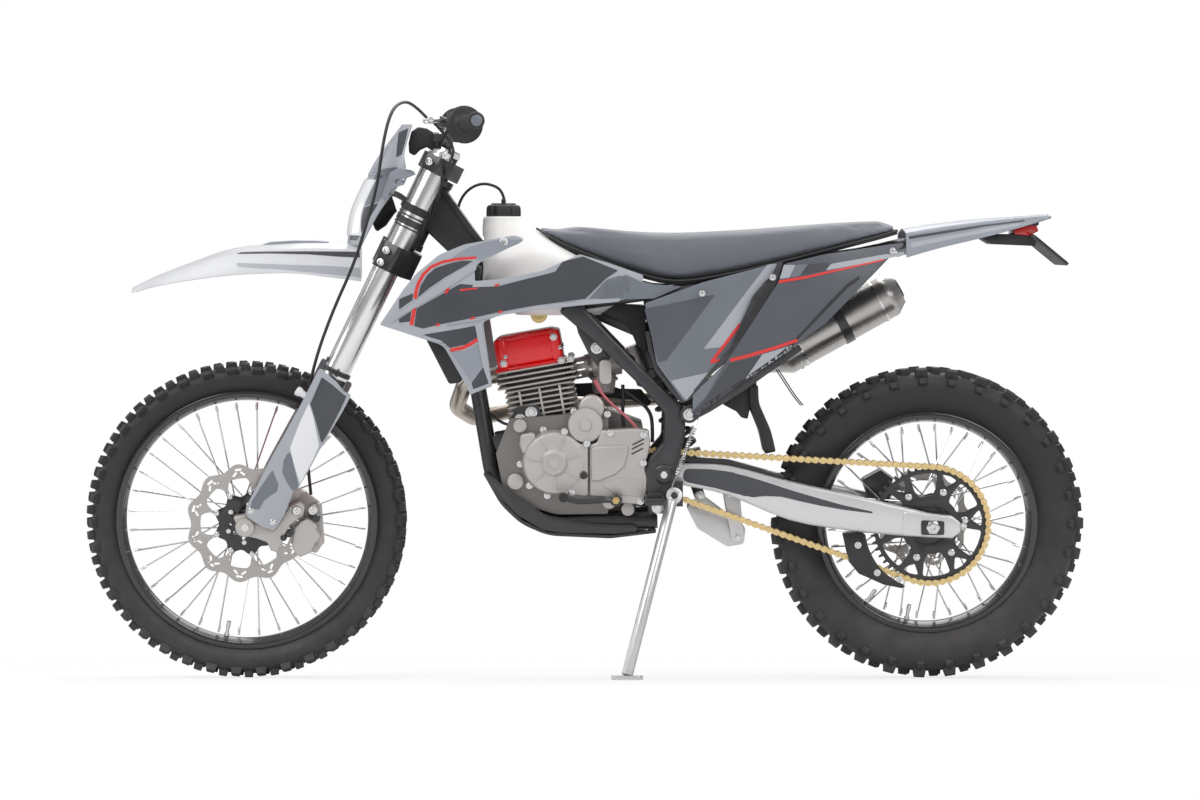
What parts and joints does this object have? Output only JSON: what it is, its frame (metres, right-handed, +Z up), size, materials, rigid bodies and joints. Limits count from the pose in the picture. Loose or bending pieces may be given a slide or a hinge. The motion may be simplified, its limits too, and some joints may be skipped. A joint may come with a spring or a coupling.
{
  "type": "dual sport motorcycle",
  "caption": "Dual sport motorcycle on its side stand: knobby wire wheels, long forks, single-cylinder engine, chain drive, turning wheels, steering and stand.",
  "frame": {"origin": "on the ground, below the middle of the machine's outer box", "axes": "+X towards the tail, +Y to the rider's right, +Z up"},
  "size_m": [2.176, 0.7938, 1.2935],
  "materials": {
    "alloy_bright": "brushed",
    "chain_gold": "plated",
    "control_black": "satin",
    "disc_steel": "brushed",
    "engine_alloy": "cast, matt",
    "fin_alloy": "cast, matt",
    "frame_black": "satin",
    "lamp_red": "gloss",
    "lens_pale": "moulded, pale",
    "plastic_black": "satin",
    "plastic_grey": "satin",
    "plastic_pale": "satin",
    "rim_black": "satin",
    "rubber_black": "matt",
    "seat_grey": "grained cover",
    "steel_bright": "polished",
    "steel_brushed": "brushed",
    "tank_white": "satin, slightly translucent",
    "tyre_rubber": "matt",
    "valve_red": "gloss"
  },
  "bodies": {
    "chassis": {"chain": "chain_gold", "frame": "frame_black", "cradle": "frame_black", "subframe": "frame_black", "crankcase": "engine_alloy", "left_covers": "engine_alloy", "starter": "engine_alloy", "right_cover": "engine_alloy", "cylinder": "fin_alloy", "valve_cover": "valve_red", "carburettor": "plastic_black", "airbox": "plastic_black", "exhaust_header": "steel_brushed", "muffler": "steel_brushed", "tank": "tank_white", "fuel_cap": "plastic_black", "seat": "seat_grey", "shrouds": "plastic_pale", "scoops": "plastic_black", "side_panels": "plastic_grey", "tail_panels": "plastic_grey", "rear_fender": "plastic_grey", "tail_lamp": "lamp_red", "plate_holder": "plastic_black", "swingarm": "alloy_bright", "chain_guide": "plastic_black", "shock": "steel_bright", "linkage": "alloy_bright", "rear_caliper": "control_black", "mud_flap": "plastic_black", "skid_plate": "plastic_black", "footpegs": "frame_black", "foot_levers": "frame_black", "stand_bracket": "frame_black"},
    "steering": {"triple_clamps": "control_black", "handlebar": "control_black", "grips": "rubber_black", "controls": "control_black", "levers": "alloy_bright", "fork_tubes": "steel_brushed", "fork_legs": "steel_bright", "fork_guards": "plastic_pale", "front_caliper": "control_black", "front_fender": "plastic_pale", "headlight_mask": "plastic_pale", "headlight_lens": "lens_pale", "brake_hose": "rubber_black"},
    "front_wheel": {"front_tyre": "tyre_rubber", "front_rim": "rim_black", "front_spokes": "steel_bright", "front_hub": "rim_black", "front_disc": "disc_steel"},
    "rear_wheel": {"rear_tyre": "tyre_rubber", "rear_rim": "rim_black", "rear_spokes": "steel_bright", "rear_hub": "rim_black", "rear_disc": "disc_steel", "rear_sprocket": "rim_black"},
    "side_stand": {"side_stand": "alloy_bright"}
  },
  "joints": [
    {"name": "steering_turn", "type": "hinge", "parent": "chassis", "child": "steering", "pos_m": [-0.36866, 0.03338, 0.96923], "axis": [0.4384, -0.1251, 0.89], "range_deg": [-47, 37]},
    {"name": "front_wheel_spin", "type": "hinge", "parent": "steering", "child": "front_wheel", "pos_m": [-0.73985, 0.11595, 0.3454], "axis": [0.0783, -0.9812, -0.1765], "continuous": true},
    {"name": "rear_wheel_spin", "type": "hinge", "parent": "chassis", "child": "rear_wheel", "pos_m": [0.74695, 0.12168, 0.34095], "axis": [0, -0.9903, -0.1392], "continuous": true},
    {"name": "side_stand_fold", "type": "hinge", "parent": "chassis", "child": "side_stand", "pos_m": [0.19007, -0.03654, 0.38934], "axis": [0.06, -0.9927, 0.105], "range_deg": [0, 91]}
  ]
}
